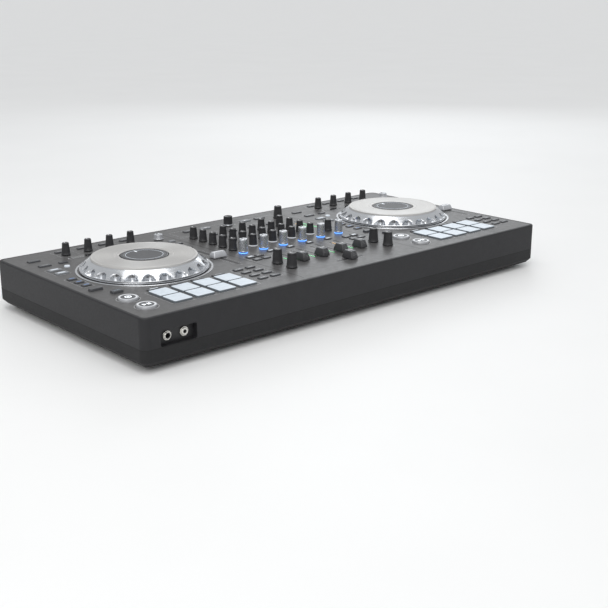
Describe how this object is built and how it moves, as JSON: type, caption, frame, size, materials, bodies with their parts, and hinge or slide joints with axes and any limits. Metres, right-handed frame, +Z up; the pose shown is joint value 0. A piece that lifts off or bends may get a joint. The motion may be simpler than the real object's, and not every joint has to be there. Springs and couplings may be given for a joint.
{
  "type": "dj controller",
  "caption": "Wide table-top DJ controller with jog wheels, rows of pads, mixer knobs, sliding faders and lit keys on a flat panel.",
  "frame": {"origin": "on the resting surface, under the middle of the case", "axes": "+X to the player's right along the case's long side, +Y away from the player, +Z up out of the panel"},
  "size_m": [0.854, 0.419, 0.104],
  "materials": {
    "case_plastic": "fine grained black",
    "panel": "satin dark grey",
    "control_black": "soft black",
    "control_silver": "turned, satin",
    "fader_grey": "satin silver grey",
    "fader_black": "satin black with light edge",
    "pad_silicone": "translucent, lit from below",
    "key_plastic": "satin dark translucent",
    "transport_plastic": "dark with a bright ring",
    "jog_metal": "bright turned",
    "jog_top": "fine spun",
    "display": "dark window",
    "window": "smoked window",
    "rubber": "matt",
    "screw_steel": "zinc plated",
    "board": "green laminate",
    "pot_steel": "plated",
    "post_plastic": "black",
    "socket_metal": "nickel",
    "socket_panel": "satin black"
  },
  "bodies": {
    "case": {"bottom_tray": "case_plastic", "case_screws": "screw_steel", "circuit_boards": "board", "jog_displays": "display", "jog_posts": "post_plastic", "jog_surrounds": "jog_metal", "panel_windows": "window", "rotary_pots": "pot_steel", "rubber_feet": "rubber", "set_knobs": "control_black", "slide_pots": "pot_steel", "socket_plates": "socket_panel", "sockets": "socket_metal", "top_panel": "panel", "upper_housing": "case_plastic"},
    "jog_left": {"jog_wheel_left": "jog_metal", "jog_plate_left": "jog_top"},
    "jog_right": {"jog_wheel_right": "jog_metal", "jog_plate_right": "jog_top"},
    "browse_knob_body": {"browse_knob": "control_black"},
    "trim_knob_1_body": {"trim_knob_1": "control_black"},
    "high_knob_1_body": {"high_knob_1": "control_black"},
    "mid_knob_1_body": {"mid_knob_1": "control_black"},
    "low_knob_1_body": {"low_knob_1": "control_black"},
    "filter_knob_1_body": {"filter_knob_1": "control_silver"},
    "trim_knob_2_body": {"trim_knob_2": "control_black"},
    "high_knob_2_body": {"high_knob_2": "control_black"},
    "mid_knob_2_body": {"mid_knob_2": "control_black"},
    "low_knob_2_body": {"low_knob_2": "control_black"},
    "filter_knob_2_body": {"filter_knob_2": "control_silver"},
    "trim_knob_3_body": {"trim_knob_3": "control_black"},
    "high_knob_3_body": {"high_knob_3": "control_black"},
    "mid_knob_3_body": {"mid_knob_3": "control_black"},
    "low_knob_3_body": {"low_knob_3": "control_black"},
    "filter_knob_3_body": {"filter_knob_3": "control_silver"},
    "trim_knob_4_body": {"trim_knob_4": "control_black"},
    "high_knob_4_body": {"high_knob_4": "control_black"},
    "mid_knob_4_body": {"mid_knob_4": "control_black"},
    "low_knob_4_body": {"low_knob_4": "control_black"},
    "filter_knob_4_body": {"filter_knob_4": "control_silver"},
    "fx_knob_left_1_body": {"fx_knob_left_1": "control_black"},
    "fx_knob_left_2_body": {"fx_knob_left_2": "control_black"},
    "fx_knob_left_3_body": {"fx_knob_left_3": "control_black"},
    "fx_knob_left_4_body": {"fx_knob_left_4": "control_black"},
    "fx_knob_right_1_body": {"fx_knob_right_1": "control_black"},
    "fx_knob_right_2_body": {"fx_knob_right_2": "control_black"},
    "fx_knob_right_3_body": {"fx_knob_right_3": "control_black"},
    "fx_knob_right_4_body": {"fx_knob_right_4": "control_black"},
    "tempo_fader_left_body": {"tempo_fader_left": "fader_grey"},
    "tempo_fader_right_body": {"tempo_fader_right": "fader_grey"},
    "channel_fader_1_body": {"channel_fader_1": "fader_black"},
    "channel_fader_2_body": {"channel_fader_2": "fader_black"},
    "channel_fader_3_body": {"channel_fader_3": "fader_black"},
    "channel_fader_4_body": {"channel_fader_4": "fader_black"},
    "crossfader_body": {"crossfader": "fader_black"},
    "performance_pads_left_body": {"performance_pads_left": "pad_silicone"},
    "performance_pads_right_body": {"performance_pads_right": "pad_silicone"},
    "transport_buttons_left_body": {"transport_buttons_left": "transport_plastic"},
    "transport_buttons_right_body": {"transport_buttons_right": "transport_plastic"},
    "small_keys_body": {"small_keys": "key_plastic"}
  },
  "joints": [
    {"name": "jog_left_spin", "type": "hinge", "parent": "case", "child": "jog_left", "pos_m": [-0.278, 0.01, 0.09], "axis": [0, 0, 1], "continuous": true},
    {"name": "jog_right_spin", "type": "hinge", "parent": "case", "child": "jog_right", "pos_m": [0.278, 0.01, 0.09], "axis": [0, 0, 1], "continuous": true},
    {"name": "browse_knob_turn", "type": "hinge", "parent": "case", "child": "browse_knob_body", "pos_m": [0, 0.158, 0.08], "axis": [0, 0, 1], "continuous": true},
    {"name": "trim_knob_1_turn", "type": "hinge", "parent": "case", "child": "trim_knob_1_body", "pos_m": [-0.0645, 0.089, 0.08], "axis": [0, 0, 1], "range_deg": [-150, 150]},
    {"name": "high_knob_1_turn", "type": "hinge", "parent": "case", "child": "high_knob_1_body", "pos_m": [-0.0645, 0.0615, 0.08], "axis": [0, 0, 1], "range_deg": [-150, 150]},
    {"name": "mid_knob_1_turn", "type": "hinge", "parent": "case", "child": "mid_knob_1_body", "pos_m": [-0.0645, 0.034, 0.08], "axis": [0, 0, 1], "range_deg": [-150, 150]},
    {"name": "low_knob_1_turn", "type": "hinge", "parent": "case", "child": "low_knob_1_body", "pos_m": [-0.0645, 0.0065, 0.08], "axis": [0, 0, 1], "range_deg": [-150, 150]},
    {"name": "filter_knob_1_turn", "type": "hinge", "parent": "case", "child": "filter_knob_1_body", "pos_m": [-0.0645, -0.021, 0.08], "axis": [0, 0, 1], "range_deg": [-150, 150]},
    {"name": "trim_knob_2_turn", "type": "hinge", "parent": "case", "child": "trim_knob_2_body", "pos_m": [-0.0215, 0.089, 0.08], "axis": [0, 0, 1], "range_deg": [-150, 150]},
    {"name": "high_knob_2_turn", "type": "hinge", "parent": "case", "child": "high_knob_2_body", "pos_m": [-0.0215, 0.0615, 0.08], "axis": [0, 0, 1], "range_deg": [-150, 150]},
    {"name": "mid_knob_2_turn", "type": "hinge", "parent": "case", "child": "mid_knob_2_body", "pos_m": [-0.0215, 0.034, 0.08], "axis": [0, 0, 1], "range_deg": [-150, 150]},
    {"name": "low_knob_2_turn", "type": "hinge", "parent": "case", "child": "low_knob_2_body", "pos_m": [-0.0215, 0.0065, 0.08], "axis": [0, 0, 1], "range_deg": [-150, 150]},
    {"name": "filter_knob_2_turn", "type": "hinge", "parent": "case", "child": "filter_knob_2_body", "pos_m": [-0.0215, -0.021, 0.08], "axis": [0, 0, 1], "range_deg": [-150, 150]},
    {"name": "trim_knob_3_turn", "type": "hinge", "parent": "case", "child": "trim_knob_3_body", "pos_m": [0.0215, 0.089, 0.08], "axis": [0, 0, 1], "range_deg": [-150, 150]},
    {"name": "high_knob_3_turn", "type": "hinge", "parent": "case", "child": "high_knob_3_body", "pos_m": [0.0215, 0.0615, 0.08], "axis": [0, 0, 1], "range_deg": [-150, 150]},
    {"name": "mid_knob_3_turn", "type": "hinge", "parent": "case", "child": "mid_knob_3_body", "pos_m": [0.0215, 0.034, 0.08], "axis": [0, 0, 1], "range_deg": [-150, 150]},
    {"name": "low_knob_3_turn", "type": "hinge", "parent": "case", "child": "low_knob_3_body", "pos_m": [0.0215, 0.0065, 0.08], "axis": [0, 0, 1], "range_deg": [-150, 150]},
    {"name": "filter_knob_3_turn", "type": "hinge", "parent": "case", "child": "filter_knob_3_body", "pos_m": [0.0215, -0.021, 0.08], "axis": [0, 0, 1], "range_deg": [-150, 150]},
    {"name": "trim_knob_4_turn", "type": "hinge", "parent": "case", "child": "trim_knob_4_body", "pos_m": [0.0645, 0.089, 0.08], "axis": [0, 0, 1], "range_deg": [-150, 150]},
    {"name": "high_knob_4_turn", "type": "hinge", "parent": "case", "child": "high_knob_4_body", "pos_m": [0.0645, 0.0615, 0.08], "axis": [0, 0, 1], "range_deg": [-150, 150]},
    {"name": "mid_knob_4_turn", "type": "hinge", "parent": "case", "child": "mid_knob_4_body", "pos_m": [0.0645, 0.034, 0.08], "axis": [0, 0, 1], "range_deg": [-150, 150]},
    {"name": "low_knob_4_turn", "type": "hinge", "parent": "case", "child": "low_knob_4_body", "pos_m": [0.0645, 0.0065, 0.08], "axis": [0, 0, 1], "range_deg": [-150, 150]},
    {"name": "filter_knob_4_turn", "type": "hinge", "parent": "case", "child": "filter_knob_4_body", "pos_m": [0.0645, -0.021, 0.08], "axis": [0, 0, 1], "range_deg": [-150, 150]},
    {"name": "fx_knob_left_1_turn", "type": "hinge", "parent": "case", "child": "fx_knob_left_1_body", "pos_m": [-0.329, 0.162, 0.08], "axis": [0, 0, 1], "range_deg": [-150, 150]},
    {"name": "fx_knob_left_2_turn", "type": "hinge", "parent": "case", "child": "fx_knob_left_2_body", "pos_m": [-0.288, 0.162, 0.08], "axis": [0, 0, 1], "range_deg": [-150, 150]},
    {"name": "fx_knob_left_3_turn", "type": "hinge", "parent": "case", "child": "fx_knob_left_3_body", "pos_m": [-0.247, 0.162, 0.08], "axis": [0, 0, 1], "range_deg": [-150, 150]},
    {"name": "fx_knob_left_4_turn", "type": "hinge", "parent": "case", "child": "fx_knob_left_4_body", "pos_m": [-0.206, 0.162, 0.08], "axis": [0, 0, 1], "range_deg": [-150, 150]},
    {"name": "fx_knob_right_1_turn", "type": "hinge", "parent": "case", "child": "fx_knob_right_1_body", "pos_m": [0.227, 0.162, 0.08], "axis": [0, 0, 1], "range_deg": [-150, 150]},
    {"name": "fx_knob_right_2_turn", "type": "hinge", "parent": "case", "child": "fx_knob_right_2_body", "pos_m": [0.268, 0.162, 0.08], "axis": [0, 0, 1], "range_deg": [-150, 150]},
    {"name": "fx_knob_right_3_turn", "type": "hinge", "parent": "case", "child": "fx_knob_right_3_body", "pos_m": [0.309, 0.162, 0.08], "axis": [0, 0, 1], "range_deg": [-150, 150]},
    {"name": "fx_knob_right_4_turn", "type": "hinge", "parent": "case", "child": "fx_knob_right_4_body", "pos_m": [0.35, 0.162, 0.08], "axis": [0, 0, 1], "range_deg": [-150, 150]},
    {"name": "tempo_fader_left_slide", "type": "slide", "parent": "case", "child": "tempo_fader_left_body", "axis": [0, 1, 0], "range_m": [-0.05, 0.05]},
    {"name": "tempo_fader_right_slide", "type": "slide", "parent": "case", "child": "tempo_fader_right_body", "axis": [0, 1, 0], "range_m": [-0.05, 0.05]},
    {"name": "channel_fader_1_slide", "type": "slide", "parent": "case", "child": "channel_fader_1_body", "axis": [0, 1, 0], "range_m": [0, 0.06]},
    {"name": "channel_fader_2_slide", "type": "slide", "parent": "case", "child": "channel_fader_2_body", "axis": [0, 1, 0], "range_m": [0, 0.06]},
    {"name": "channel_fader_3_slide", "type": "slide", "parent": "case", "child": "channel_fader_3_body", "axis": [0, 1, 0], "range_m": [0, 0.06]},
    {"name": "channel_fader_4_slide", "type": "slide", "parent": "case", "child": "channel_fader_4_body", "axis": [0, 1, 0], "range_m": [0, 0.06]},
    {"name": "crossfader_slide", "type": "slide", "parent": "case", "child": "crossfader_body", "axis": [1, 0, 0], "range_m": [-0.025, 0.025]},
    {"name": "performance_pads_left_press", "type": "slide", "parent": "case", "child": "performance_pads_left_body", "axis": [0, 0, -1], "range_m": [0, 0.0012], "stiffness_N_per_m": 2000, "springref_m": -0.001},
    {"name": "performance_pads_right_press", "type": "slide", "parent": "case", "child": "performance_pads_right_body", "axis": [0, 0, -1], "range_m": [0, 0.0012], "stiffness_N_per_m": 2000, "springref_m": -0.001},
    {"name": "transport_buttons_left_press", "type": "slide", "parent": "case", "child": "transport_buttons_left_body", "axis": [0, 0, -1], "range_m": [0, 0.0012], "stiffness_N_per_m": 1500, "springref_m": -0.001},
    {"name": "transport_buttons_right_press", "type": "slide", "parent": "case", "child": "transport_buttons_right_body", "axis": [0, 0, -1], "range_m": [0, 0.0012], "stiffness_N_per_m": 1500, "springref_m": -0.001},
    {"name": "small_keys_press", "type": "slide", "parent": "case", "child": "small_keys_body", "axis": [0, 0, -1], "range_m": [0, 0.0012], "stiffness_N_per_m": 3000, "springref_m": -0.001}
  ]
}
